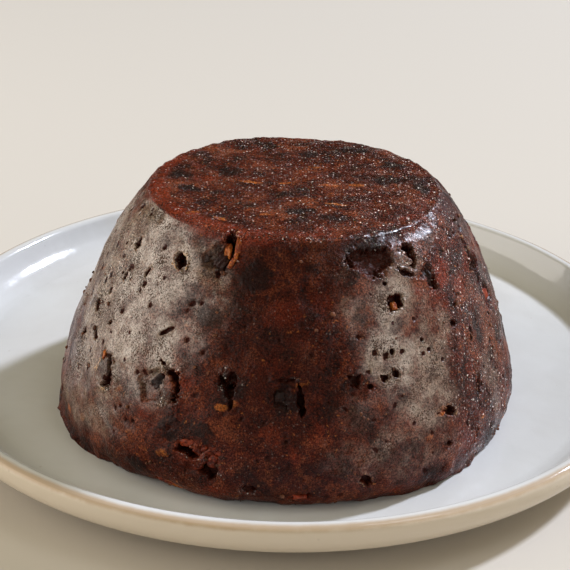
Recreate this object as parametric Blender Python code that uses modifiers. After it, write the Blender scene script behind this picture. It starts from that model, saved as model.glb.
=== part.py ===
# A steamed Christmas pudding, turned out of its basin onto a stoneware plate.
# Metres, +Z up. The origin is the middle of the plate's foot, at table level.
# Azimuths are in degrees from the front (-Y), positive towards +X.

import math

import bpy
from mathutils import Matrix, Vector, noise

MM = 0.001
MERGE = 0.02 * MM

# The plate: a shallow round plate with a low upright rim
PLATE_RADIUS = 115 * MM
PLATE_HEIGHT = 19 * MM          # table to rim
WELL_DEPTH = 11.5 * MM          # rim to the eating surface
WALL = 4.6 * MM                 # thickness of the floor and the rim
COVE_RADIUS = 13 * MM           # hollow curve between floor and rim
COVE_TURN = 72                  # degrees it turns up, so the rim leans out a little
LIP_RADIUS = 1.9 * MM           # rounding on both sides of the rim
RIM_BAND = 1.4 * MM             # upright band between lip and belly
BELLY_RADIUS = 7 * MM           # outer curve under the rim
BELLY_TURN = 50                 # degrees it turns in
FOOT_RADIUS = 74.5 * MM
FOOT_WIDTH = 5 * MM
FOOT_SPREAD = 1.2 * MM          # each side of the foot ring leans out this much
FOOT_ROUND = 0.9 * MM
PLATE_STEPS = 72
CURVE_STEPS = 3                 # pieces in each short curve of the outline
COVE_STEPS = 5

# The pudding: a basin shape upside down, widest just above the plate
PUDDING_HEIGHT = 67.8 * MM
PUDDING_RADIUS = 69.3 * MM
TOP_RADIUS = 41.6 * MM
TUCK = 6.4 * MM                 # how far the lower edge curves in again
TUCK_HEIGHT = 7.5 * MM
EDGE_RADIUS = 1.6 * MM          # rounding of the crisp upper edge
EDGE_TURN = 45                  # degrees, where the edge meets the side
BULGE = 1.45                    # how full the side is: 1 would be a plain cone
SHOULDER = 0.9                  # how steeply the side turns in under the top
LEAN = 1.4 * MM                 # the top sits this far towards +X
PUDDING_CENTRE = Vector((1.1 * MM, -23.2 * MM))
GAP = 0.3 * MM                  # the pudding stands this far clear of the glaze
TOP_RINGS = 5
SIDE_RINGS = 18
TUCK_RINGS = (0.6, 0.3, 0.1, 0)  # shares of the tuck's height, close where it curves most
PUDDING_STEPS = 76

SWELL = 0.9 * MM                # height of the broad unevenness
SWELL_SIZE = 24 * MM
GRIT = 0.35 * MM                # height of the small unevenness
GRIT_SIZE = 8 * MM
DIMPLE = 0.5 * MM               # depth of the dimples in the top
CRUMB_ANGLE = 50                # degrees: edges sharper than this stay sharp

# Where fruit stands proud: azimuth, height above the plate, width, rise
LUMPS = (
    (-33, 29 * MM, 11 * MM, 0.9 * MM),
    (-1, 32 * MM, 12 * MM, 1.0 * MM),
    (-20, 13 * MM, 12 * MM, 1.4 * MM),
    (38, 16 * MM, 12 * MM, 0.9 * MM),
    (96, 24 * MM, 13 * MM, 1.1 * MM),
    (141, 41 * MM, 11 * MM, 0.9 * MM),
    (178, 19 * MM, 14 * MM, 1.2 * MM),
    (-137, 34 * MM, 12 * MM, 1.0 * MM),
    (-98, 17 * MM, 12 * MM, 1.1 * MM),
)

# Where fruit has torn out: azimuth, height, width, height across, depth
HOLLOWS = (
    (-23, 64.2 * MM, 5.5 * MM, 9 * MM, 3.0 * MM),
    (-39, 58 * MM, 5 * MM, 4.5 * MM, 2.6 * MM),
    (-52, 26 * MM, 5 * MM, 9 * MM, 2.8 * MM),
    (-15, 33.4 * MM, 6 * MM, 7 * MM, 3.4 * MM),
    (2.5, 31 * MM, 4 * MM, 10 * MM, 2.6 * MM),
    (26.7, 61 * MM, 13 * MM, 8 * MM, 2.8 * MM),
    (42, 60.5 * MM, 5.5 * MM, 9 * MM, 3.6 * MM),
    (36, 56.4 * MM, 7 * MM, 4 * MM, 2.4 * MM),
    (41.5, 21 * MM, 4.5 * MM, 5 * MM, 2.6 * MM),
    (-22, 14.5 * MM, 8 * MM, 5 * MM, 3.0 * MM),
    (88, 38 * MM, 6 * MM, 7 * MM, 3.0 * MM),
    (127, 22 * MM, 7 * MM, 5 * MM, 2.8 * MM),
    (163, 47 * MM, 5 * MM, 8 * MM, 2.8 * MM),
    (-150, 17 * MM, 8 * MM, 5 * MM, 3.0 * MM),
    (-112, 44 * MM, 6 * MM, 6 * MM, 2.8 * MM),
)


def clear_scene():
    for item in list(bpy.data.objects):
        bpy.data.objects.remove(item, do_unlink=True)


def new_collection(name):
    collection = bpy.data.collections.new(name)
    bpy.context.scene.collection.children.link(collection)
    return collection


def new_material(name, colour, roughness):
    material = bpy.data.materials.new(name)
    material.use_nodes = True
    shader = material.node_tree.nodes["Principled BSDF"]
    shader.inputs["Base Color"].default_value = (*colour, 1)
    shader.inputs["Roughness"].default_value = roughness
    shader.inputs["Metallic"].default_value = 0
    return material


def arc(centre_x, centre_z, radius, start, end, steps):
    """Points on an arc, with its angles in degrees from +X towards +Z."""
    points = []
    for step in range(steps + 1):
        angle = math.radians(start + (end - start) * step / steps)
        points.append((centre_x + radius * math.cos(angle), centre_z + radius * math.sin(angle)))
    return points


def bend(start, corner, end, steps):
    """Points on a smooth curve that leaves start and reaches end along lines through corner."""
    points = []
    for step in range(steps + 1):
        t = step / steps
        weights = ((1 - t) ** 2, 2 * t * (1 - t), t ** 2)
        points.append(tuple(
            weights[0] * start[axis] + weights[1] * corner[axis] + weights[2] * end[axis]
            for axis in (0, 1)
        ))
    return points


def turned(name, profile, steps, collection):
    """A solid turned about Z from (radius, height) points that run down its outer side."""
    mesh = bpy.data.meshes.new(name)
    points = [(radius, 0, height) for radius, height in profile]
    edges = [(index, index + 1) for index in range(len(points) - 1)]
    mesh.from_pydata(points, edges, [])
    item = bpy.data.objects.new(name, mesh)
    collection.objects.link(item)
    screw = item.modifiers.new("turn", "SCREW")
    screw.steps = steps
    screw.render_steps = steps
    screw.use_merge_vertices = True
    screw.merge_threshold = MERGE
    screw.use_smooth_shade = True
    return item


def plate_profile():
    floor = PLATE_HEIGHT - WELL_DEPTH
    under = floor - WALL
    lip_z = PLATE_HEIGHT - LIP_RADIUS
    lip_in = PLATE_RADIUS - WALL + LIP_RADIUS

    # the cove starts where its straight run up ends at the inner lip
    turn = math.radians(COVE_TURN)
    run_up = lip_z + LIP_RADIUS * math.cos(turn) - floor - COVE_RADIUS * (1 - math.cos(turn))
    cove_x = lip_in - (LIP_RADIUS + COVE_RADIUS) * math.sin(turn) - run_up / math.tan(turn)
    inside = [(0, floor), (cove_x / 2, floor)]
    inside += arc(cove_x, floor + COVE_RADIUS, COVE_RADIUS, -90, COVE_TURN - 90, COVE_STEPS)

    rim = arc(lip_in, lip_z, LIP_RADIUS, COVE_TURN + 90, 90, CURVE_STEPS - 1)
    rim += arc(PLATE_RADIUS - LIP_RADIUS, lip_z, LIP_RADIUS, 90, 0, CURVE_STEPS - 1)
    belly_x = PLATE_RADIUS - BELLY_RADIUS
    belly = arc(belly_x, lip_z - RIM_BAND, BELLY_RADIUS, 0, -BELLY_TURN, CURVE_STEPS)

    # from the belly the wall runs in, and bends to the flat underside
    belly_end = belly[-1]
    reach = (belly_end[1] - under) / math.tan(math.radians(90 - BELLY_TURN))
    corner = (belly_end[0] - reach, under)
    wall = bend(belly_end, corner, (corner[0] - reach, under), CURVE_STEPS)[1:]

    foot_in = FOOT_RADIUS - FOOT_WIDTH
    foot = [(FOOT_RADIUS + FOOT_SPREAD, under)]
    foot += arc(FOOT_RADIUS - FOOT_ROUND, FOOT_ROUND, FOOT_ROUND, 0, -90, 1)
    foot += arc(foot_in + FOOT_ROUND, FOOT_ROUND, FOOT_ROUND, -90, -180, 1)
    foot += [(foot_in - FOOT_SPREAD, under), (0, under)]
    return inside + rim + belly + wall + foot


def pudding_radius(height):
    """The radius of the side at a height above the base."""
    if height < TUCK_HEIGHT:
        fall = 1 - height / TUCK_HEIGHT
        return PUDDING_RADIUS - TUCK * (1 - math.sqrt(1 - fall ** 2))
    rise = (height - TUCK_HEIGHT) / (PUDDING_HEIGHT - TUCK_HEIGHT)
    return TOP_RADIUS + (PUDDING_RADIUS - TOP_RADIUS) * (1 - rise ** BULGE) ** SHOULDER


def pudding_profile():
    edge_z = PUDDING_HEIGHT - EDGE_RADIUS
    edge_x = pudding_radius(edge_z) - EDGE_RADIUS
    top = [(edge_x * ring / TOP_RINGS, PUDDING_HEIGHT) for ring in range(TOP_RINGS)]
    edge = arc(edge_x, edge_z, EDGE_RADIUS, 90, EDGE_TURN, CURVE_STEPS - 1)
    side = []
    for ring in range(1, SIDE_RINGS + 1):
        height = edge_z + (TUCK_HEIGHT - edge_z) * ring / SIDE_RINGS
        side.append((pudding_radius(height), height))
    tuck = [(pudding_radius(TUCK_HEIGHT * share), TUCK_HEIGHT * share) for share in TUCK_RINGS]
    base = [(pudding_radius(0) / 2, 0), (0, 0)]
    return top + edge + side + tuck + base


def outward(azimuth):
    """The outward direction at an azimuth."""
    angle = math.radians(azimuth)
    return Vector((math.sin(angle), -math.cos(angle), 0))


def lump_rise(point):
    """How far the fruit under the skin lifts the surface at a point."""
    rise = 0
    for azimuth, height, width, lift in LUMPS:
        middle = outward(azimuth) * pudding_radius(height)
        middle.z = height
        distance = (point - middle).length / (0.5 * width)
        rise += lift * math.exp(-distance ** 2)
    return rise


def roughen(mesh):
    """Give the turned blank its lean, its broad swells and the lumps of fruit."""
    for vertex in mesh.vertices:
        point = vertex.co.copy()
        swell = SWELL * noise.noise(point / SWELL_SIZE) + GRIT * noise.noise(point / GRIT_SIZE)
        out = Vector((point.x, point.y, 0))
        if out.length > MERGE:
            fade = min(1, out.length / TOP_RADIUS)
            vertex.co += out.normalized() * (swell * fade + lump_rise(point))
        if point.z > PUDDING_HEIGHT - EDGE_RADIUS / 2:
            vertex.co.z -= DIMPLE * abs(noise.noise(point / GRIT_SIZE))
        vertex.co.x += LEAN * point.z / PUDDING_HEIGHT
    mesh.update()


def add_hollow(index, hollow, collection, place):
    """A cutter shaped like the piece of fruit that came away."""
    azimuth, height, width, tall, depth = hollow
    bpy.ops.mesh.primitive_ico_sphere_add(subdivisions=2, radius=1)
    cutter = bpy.context.object
    cutter.name = f"hollow_{index:02d}"
    for owner in list(cutter.users_collection):
        owner.objects.unlink(cutter)
    collection.objects.link(cutter)
    size = Matrix.Diagonal((width / 2, depth, tall / 2, 1))
    cutter.data.transform(size)
    middle = outward(azimuth) * pudding_radius(height)
    middle += Vector((LEAN * height / PUDDING_HEIGHT, 0, height))
    cutter.location = place + middle
    cutter.rotation_euler = (0, 0, math.radians(azimuth))
    cutter.hide_render = True
    cutter.display_type = "WIRE"


def build_plate(collection):
    plate = turned("plate", plate_profile(), PLATE_STEPS, collection)
    plate.data.materials.append(new_material("pale_glaze", (0.62, 0.61, 0.58), 0.22))
    return plate


def build_pudding(collection, cutters):
    blank = turned("pudding_blank", pudding_profile(), PUDDING_STEPS, collection)
    view = bpy.context.evaluated_depsgraph_get()
    mesh = bpy.data.meshes.new_from_object(blank.evaluated_get(view))
    bpy.data.objects.remove(blank, do_unlink=True)
    mesh.name = "pudding"
    roughen(mesh)

    place = Vector((*PUDDING_CENTRE, PLATE_HEIGHT - WELL_DEPTH + GAP))
    pudding = bpy.data.objects.new("pudding", mesh)
    pudding.location = place
    collection.objects.link(pudding)
    pudding.data.materials.append(new_material("dark_fruit_sponge", (0.075, 0.03, 0.02), 0.4))

    for index, hollow in enumerate(HOLLOWS, start=1):
        add_hollow(index, hollow, cutters, place)
    cut = pudding.modifiers.new("torn_fruit", "BOOLEAN")
    cut.operation = "DIFFERENCE"
    cut.solver = "EXACT"
    cut.operand_type = "COLLECTION"
    cut.collection = cutters
    mesh.shade_smooth()
    mesh.set_sharp_from_angle(angle=math.radians(CRUMB_ANGLE))
    return pudding


def main():
    clear_scene()
    parts = new_collection("christmas_pudding")
    cutters = new_collection("pudding_cutters")
    build_plate(parts)
    build_pudding(parts, cutters)


main()
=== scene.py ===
# Christmas pudding on a stoneware plate: the looks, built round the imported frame.
# Metres, +Z up. Azimuths are degrees from the front (-Y), positive towards +X.
import math

import bmesh
import bpy
import numpy as np
from mathutils import Euler, Matrix, Vector


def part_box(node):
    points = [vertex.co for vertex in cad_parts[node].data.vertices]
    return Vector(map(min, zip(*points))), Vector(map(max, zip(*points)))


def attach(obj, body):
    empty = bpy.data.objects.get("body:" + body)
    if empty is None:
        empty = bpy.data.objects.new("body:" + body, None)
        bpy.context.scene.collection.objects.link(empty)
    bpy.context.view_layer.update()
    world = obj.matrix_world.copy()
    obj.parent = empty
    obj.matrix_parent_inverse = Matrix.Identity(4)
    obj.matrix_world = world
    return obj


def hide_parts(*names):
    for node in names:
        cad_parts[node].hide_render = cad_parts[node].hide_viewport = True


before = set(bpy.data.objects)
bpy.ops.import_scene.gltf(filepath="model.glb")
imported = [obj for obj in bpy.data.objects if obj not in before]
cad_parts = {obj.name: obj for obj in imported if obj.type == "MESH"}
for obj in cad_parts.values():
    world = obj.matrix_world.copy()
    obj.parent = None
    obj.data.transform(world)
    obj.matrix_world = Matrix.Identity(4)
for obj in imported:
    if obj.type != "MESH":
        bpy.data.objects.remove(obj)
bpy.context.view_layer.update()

mm = 0.001
chance = np.random.default_rng(2512)
cellPrimes = np.array([73856093, 19349663, 83492791])  # they scramble the place of a cell of softNoise

puddingLow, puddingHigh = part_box("pudding")
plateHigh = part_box("plate")[1]


# meshes

def softNoise(points, size, seed=0):
    # smooth lumps between -1 and 1, about one for every size
    cell = points / size + seed * 7.31
    base = np.floor(cell).astype(np.int64)
    part = cell - base
    ease = part * part * (3 - 2 * part)
    total = np.zeros(len(points))
    for corner in range(8):
        step = np.array([corner & 1, corner >> 1 & 1, corner >> 2 & 1])
        key = (base + step) @ cellPrimes + seed * 101
        key = (key ^ (key >> 13)) * 1274126177 & 0x7FFFFFFF
        key = (key ^ (key >> 15)) * 668265263 & 0x7FFFFFFF
        weight = np.prod(np.where(step, ease, 1 - ease), axis=1)
        total += weight * ((key >> 8) & 0xFFFF) / 32767.5
    return total - 1


def fade(value, start, end):
    # 0 at start, 1 at end, smooth between
    part = np.clip((value - start) / (end - start), 0, 1)
    return part * part * (3 - 2 * part)


def bell(value, middle, width):
    return np.exp(-((value - middle) / width) ** 2)


def azimuths(points):
    return np.degrees(np.arctan2(points[:, 0], -points[:, 1]))


def radii(points):
    return np.hypot(points[:, 0], points[:, 1])


def stretch(turned, start, full, until, end):
    # 1 between the azimuths full and until, fading out to start and end
    return fade(turned, start, full) * fade(turned, end, until)


def raiseTo(mask, values, index=slice(None)):
    mask[index] = np.maximum(mask[index], values)


def arc(centreX, centreZ, radius, start, end, steps):
    turn = np.radians(np.linspace(start, end, steps + 1))
    return np.stack([centreX + radius * np.cos(turn), centreZ + radius * np.sin(turn)], axis=1)


def evenly(outline, spacing):
    # the same outline with its points a set distance apart
    run = np.concatenate([[0], np.cumsum(np.linalg.norm(np.diff(outline, axis=0), axis=1))])
    count = max(2, round(run[-1] / spacing) + 1)
    spots = np.linspace(0, run[-1], count)
    return np.stack([np.interp(spots, run, outline[:, axis]) for axis in (0, 1)], axis=1)


def zipRings(first, second):
    # triangles between two rings, each (first index, count, turn of its first point)
    faces = []
    a = b = 0
    while a < first[1] or b < second[1]:
        nextA = first[2] + math.tau * (a + 1) / first[1]
        nextB = second[2] + math.tau * (b + 1) / second[1]
        cornerA = first[0] + a % first[1]
        cornerB = second[0] + b % second[1]
        if b == second[1] or (a < first[1] and nextA <= nextB):
            if first[1] > 1:
                faces.append((cornerA, cornerB, first[0] + (a + 1) % first[1]))
            a += 1
        else:
            if second[1] > 1:
                faces.append((cornerA, cornerB, second[0] + (b + 1) % second[1]))
            b += 1
    return faces


def meshOf(name, points, faces):
    mesh = bpy.data.meshes.new(name)
    mesh.from_pydata(points, [], faces)
    mesh.update()
    return mesh


def turnedMesh(name, outline, counts):
    # a closed turned body from (radius, height) points, top middle first, with a set count in each ring
    points, rings, faces = [], [], []
    for step, ((radius, height), count) in enumerate(zip(outline, counts)):
        shift = math.pi / count if step % 2 else 0.0
        rings.append((len(points), count, shift))
        for spot in range(count):
            turn = shift + math.tau * spot / count
            points.append((radius * math.cos(turn), radius * math.sin(turn), height))
    for first, second in zip(rings, rings[1:]):
        faces += zipRings(first, second)
    return meshOf(name, points, faces)


def meshVectors(mesh, kind="co"):
    # every point's place ("co") or outward direction ("normal")
    flat = np.empty(len(mesh.vertices) * 3)
    mesh.vertices.foreach_get(kind, flat)
    return flat.reshape(-1, 3)


def setPoints(mesh, points):
    mesh.vertices.foreach_set("co", points.astype(np.float32).ravel())
    mesh.update()


def addMask(mesh, name, values):
    layer = mesh.attributes.new(name, "FLOAT", "POINT")
    layer.data.foreach_set("value", np.clip(values, 0, 1).astype(np.float32))


def showPiece(name, mesh, material, slot, *nodes):
    piece = bpy.data.objects.new(name, mesh)
    bpy.context.scene.collection.objects.link(piece)
    mesh.materials.append(material)
    mesh.shade_smooth()
    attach(piece, "root")
    if nodes:
        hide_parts(*nodes)
    print(name, sum(len(face.vertices) - 2 for face in mesh.polygons), "triangles")


# materials

def newMaterial(name):
    material = bpy.data.materials.new(name)
    material.use_nodes = True
    tree = material.node_tree
    return material, tree, addNode(tree, "ShaderNodeTexCoord").outputs["Object"]


def plug(tree, socket, value):
    if isinstance(value, bpy.types.NodeSocket):
        tree.links.new(value, socket)
    elif isinstance(value, (tuple, list)) and len(value) == 3 and socket.type == "RGBA":
        socket.default_value = (*value, 1)
    else:
        socket.default_value = value


def dress(tree, values):
    # link or set the sockets of a material's own shader
    for key, value in values.items():
        plug(tree, tree.nodes["Principled BSDF"].inputs[key], value)


def addNode(tree, kind, values=None, **settings):
    node = tree.nodes.new(kind)
    for key, value in settings.items():
        setattr(node, key, value)
    for key, value in (values or {}).items():
        plug(tree, node.inputs[key], value)
    return node


def worked(operation, first, second, clamp=False):
    # a sum of two values, of which one or both are sockets
    tree = (first if isinstance(first, bpy.types.NodeSocket) else second).id_data
    node = addNode(tree, "ShaderNodeMath", {0: first, 1: second}, operation=operation, use_clamp=clamp)
    return node.outputs[0]


def times(first, second, clamp=False):
    return worked("MULTIPLY", first, second, clamp)


def plus(first, second):
    return worked("ADD", first, second)


def less(first, second, clamp=False):
    return worked("SUBTRACT", first, second, clamp)


def most(first, second):
    return worked("MAXIMUM", first, second)


def remains(mask, taken=1.0, clamp=False):
    # what is left of 1 when the mask takes its share
    return less(1.0, times(mask, taken), clamp)


def swing(noise, amount):
    # a noise that swings evenly round zero
    return times(less(noise, 0.5), amount)


def ramp(value, start, end, low=0.0, high=1.0):
    values = {"Value": value, "From Min": start, "From Max": end, "To Min": low, "To Max": high}
    node = addNode(value.id_data, "ShaderNodeMapRange", values, interpolation_type="SMOOTHSTEP")
    return node.outputs["Result"]


def mixColour(factor, first, second):
    node = addNode(factor.id_data, "ShaderNodeMix", {0: factor, 6: first, 7: second}, data_type="RGBA")
    return node.outputs[2]


def scaledNoise(where, scale, detail=2.0, rough=0.5, warp=0.0):
    values = {"Vector": where, "Scale": scale, "Detail": detail, "Roughness": rough, "Distortion": warp}
    return addNode(where.id_data, "ShaderNodeTexNoise", values).outputs["Fac"]


def noiseAt(where, size, *shape):
    return scaledNoise(where, 1 / size, *shape)


def maskFrom(tree, name):
    return addNode(tree, "ShaderNodeAttribute", attribute_name=name).outputs["Fac"]


def bump(height, distance, below=None):
    # relief from a height, laid over the relief below it
    values = {"Height": height, "Distance": distance, "Strength": 1.0}
    if below is not None:
        values["Normal"] = below
    return addNode(height.id_data, "ShaderNodeBump", values).outputs["Normal"]


def newGroup(name, inputs, outputs):
    # inputs by name: a number of their own, or None for a vector
    group = bpy.data.node_groups.new(name, "ShaderNodeTree")
    for label, value in inputs.items():
        kind = "NodeSocketVector" if value is None else "NodeSocketFloat"
        socket = group.interface.new_socket(label, in_out="INPUT", socket_type=kind)
        if value is not None:
            socket.default_value = value
    for label in outputs:
        group.interface.new_socket(label, in_out="OUTPUT", socket_type="NodeSocketFloat")
    return group, group.nodes.new("NodeGroupInput").outputs, group.nodes.new("NodeGroupOutput").inputs


def makeStickyGrain():
    # fine grain of steamed fruit: a broken colour value and a height, both 0 to 1
    inputs = {"Vector": None, "Scale": 900.0, "Wrinkle": 0.3}
    group, given, wanted = newGroup("stickyGrain", inputs, ["Tone", "Height"])
    fine = scaledNoise(given["Vector"], given["Scale"], 4.0, 0.62)
    coarse = scaledNoise(given["Vector"], times(given["Scale"], 0.24), 3.0, 0.55, 0.6)
    fold = worked("ABSOLUTE", less(coarse, 0.5), 0.0)
    plug(group, wanted["Tone"], ramp(times(plus(fine, coarse), 0.5), 0.34, 0.66))
    plug(group, wanted["Height"], less(fine, times(fold, times(given["Wrinkle"], 4.0))))
    return group


def roundCells(group, given):
    # round cells side by side: the distance to the middle of one, and a number for each cell
    values = {"Vector": given["Vector"], "Scale": given["Scale"], "Randomness": 1.0}
    cells = addNode(group, "ShaderNodeTexVoronoi", values).outputs
    number = addNode(group, "ShaderNodeSeparateColor", {"Color": cells["Color"]}).outputs[0]
    return cells["Distance"], number


def makePores():
    # small round pores: a mask that is 1 inside them
    group, given, wanted = newGroup("pores", {"Vector": None, "Scale": 900.0, "Amount": 0.5}, ["Mask"])
    distance, number = roundCells(group, given)
    size = times(less(given["Amount"], number), 0.55)
    plug(group, wanted["Mask"], ramp(less(size, distance), -0.06, 0.1))
    return group


def makeGlintSpecks():
    # scattered specks, about one in every other cell: a mask that is 1 on them, used for the painted glints
    group, given, wanted = newGroup("glintSpecks", {"Vector": None, "Scale": 1200.0}, ["Mask"])
    distance, number = roundCells(group, given)
    size = times(less(number, 0.42), 0.56)
    plug(group, wanted["Mask"], ramp(less(size, distance), -0.03, 0.05))
    return group


def useGroup(group, where, size, **values):
    node = addNode(where.id_data, "ShaderNodeGroup", node_tree=group)
    for key, value in {"Vector": where, "Scale": 1 / size, **values}.items():
        plug(where.id_data, node.inputs[key], value)
    return node.outputs


stickyGrain = makeStickyGrain()
pores = makePores()
glintSpecks = makeGlintSpecks()


# the shape of the pudding

basin = {
    "topShare": 0.6,           # top radius as a share of the widest
    "bulge": 1.45,             # 1 would be a plain cone
    "shoulder": 0.9,
    "tuckIn": 0.092,           # the lower edge curves in by this share of the radius
    "tuckHeight": 0.11,        # over this share of the height
    "edgeRound": 2.1 * mm,
    "edgeTurn": 38,
    "lean": 1.4 * mm,
    "face": 1.06 * mm,         # a mesh edge, halved near pits and again near torn holes
    "sink": 0.22 * mm,         # how far it settles towards the glaze
    "swell": 0.7 * mm,
    "swellSize": 27 * mm,
    "lump": 0.3 * mm,
    "lumpSize": 8.5 * mm,
    "crumb": 0.24 * mm,        # coarser lumps low down and along the top edge
    "crumbSize": 3.0 * mm,
    "grit": 0.1 * mm,
    "gritSize": 1.9 * mm,
    "spread": 0.3 * mm,        # the left edge has sagged outwards
    "slimmer": 1.3 * mm,       # the right side stands in a little
    "soften": 1.12 * mm,       # the top edge is worn rounder, most at the right
    "softSize": 4.4 * mm,
    "leftFoot": (-170, -120, -60, -34),  # azimuths, as stretch takes them
    "rightFoot": (14, 40, 100, 150),
    "rightSide": (20, 62, 110, 160),
    "wornRight": (14, 46, 95, 150),
    "wornLeft": (-150, -110, -70, -40),
    "wornBack": (105, 140),
}
tall = puddingHigh.z - puddingLow.z
widest = min(puddingHigh.x - puddingLow.x, puddingHigh.y - puddingLow.y) / 2
topRadius = basin["topShare"] * widest
tuckTop = basin["tuckHeight"] * tall
puddingFoot = np.array([
    (puddingLow.x + puddingHigh.x) / 2, (puddingLow.y + puddingHigh.y) / 2, puddingLow.z - basin["sink"],
])


def tuckedBy(height):
    # how far the side curves in near the foot
    fall = np.clip(1 - height / tuckTop, 0, 1)
    return widest * basin["tuckIn"] * (1 - np.sqrt(1 - fall ** 2))


def basinRadius(height):
    rise = np.clip((height - tuckTop) / (tall - tuckTop), 0, 1)
    narrow = (1 - rise ** basin["bulge"]) ** basin["shoulder"]
    side = widest * (basin["topShare"] + (1 - basin["topShare"]) * narrow)
    return side - tuckedBy(height)


def basinOutline():
    edgeZ = tall - basin["edgeRound"]
    edgeX = basinRadius(edgeZ) - basin["edgeRound"]
    top = np.array([[0, tall], [edgeX, tall]])
    edge = arc(edgeX, edgeZ, basin["edgeRound"], 90, basin["edgeTurn"], 8)
    heights = np.linspace(edgeZ - basin["edgeRound"] / 2, 0, 300)
    side = np.stack([basinRadius(heights), heights], axis=1)
    return evenly(np.concatenate([top, edge, side]), basin["face"] * 0.87)


def onSide(azimuth, height):
    # a spot on the side: its point, its outward normal, and the directions across and up it
    turn = math.radians(azimuth)
    out = np.array([math.sin(turn), -math.cos(turn), 0])
    slope = (basinRadius(height - mm) - basinRadius(height + mm)) / (2 * mm)
    normal = out + np.array([0, 0, slope])
    normal /= np.linalg.norm(normal)
    across = np.array([math.cos(turn), math.sin(turn), 0])
    point = out * basinRadius(height)
    point[2] = height
    return point, normal, across, np.cross(normal, across)


def onTop(x, y):
    return np.array([x, y, tall]), np.array([0.0, 0, 1]), np.array([1.0, 0, 0]), np.array([0.0, 1, 0])


def slumped(points):
    # the foot spreads at the left and tucks in at the front, the right side stands in, the top edge is worn
    turned, around = azimuths(points), radii(points)
    fall = np.clip(1 - points[:, 2] / tuckTop, 0, 1)
    leftward, rightward = stretch(turned, *basin["leftFoot"]), stretch(turned, *basin["rightFoot"])
    outward = tuckedBy(points[:, 2]) * np.maximum(leftward, 0.55 * rightward)
    outward += basin["spread"] * leftward * fall ** 2
    slimmer = stretch(turned, *basin["rightSide"]) * fade(points[:, 2], tall * 0.95, tall * 0.4)
    outward -= basin["slimmer"] * slimmer
    worn = stretch(turned, *basin["wornRight"]) + 0.35 * stretch(turned, *basin["wornLeft"])
    worn += 0.45 * fade(np.abs(turned), *basin["wornBack"])
    edgeGap = np.hypot(around - topRadius, points[:, 2] - tall)
    worn = basin["soften"] * np.minimum(worn, 1) * bell(edgeGap, 0, basin["softSize"])
    outward -= worn
    moved = points.copy()
    moved[:, 2] -= worn
    outward *= fade(around, widest * 0.4, widest * 0.55)
    moved[:, :2] *= (1 + outward / np.maximum(around, mm))[:, None]
    return moved


def placed(points):
    # from the pudding's own straight frame to where it leans on the plate
    moved = slumped(points) + puddingFoot
    moved[:, 0] += basin["lean"] * points[:, 2] / tall
    return moved


def reach(points, spot, width, height, turn=0.0, ragged=0.0, seed=0, shift=0.0):
    # for the points near a spot: which they are, and how far out they lie, 1 on the outline
    point, normal, across, up = spot
    widestGap = max(width, height) * (0.9 + abs(shift))
    near = np.flatnonzero(((points - point) ** 2).sum(axis=1) < widestGap ** 2)
    offset = points[near] - point
    angle = math.radians(turn)
    x = offset @ across * math.cos(angle) + offset @ up * math.sin(angle) - shift * width
    y = offset @ up * math.cos(angle) - offset @ across * math.sin(angle)
    far = np.sqrt((x / (width / 2)) ** 2 + (y / (height / 2)) ** 2)
    if ragged:
        coarse = softNoise(points[near], 0.3 * min(width, height) + 0.5 * mm, seed)
        fine = softNoise(points[near], 0.65 * mm, seed + 1)
        far += ragged * (coarse + 0.55 * fine)
    return near, far
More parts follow.
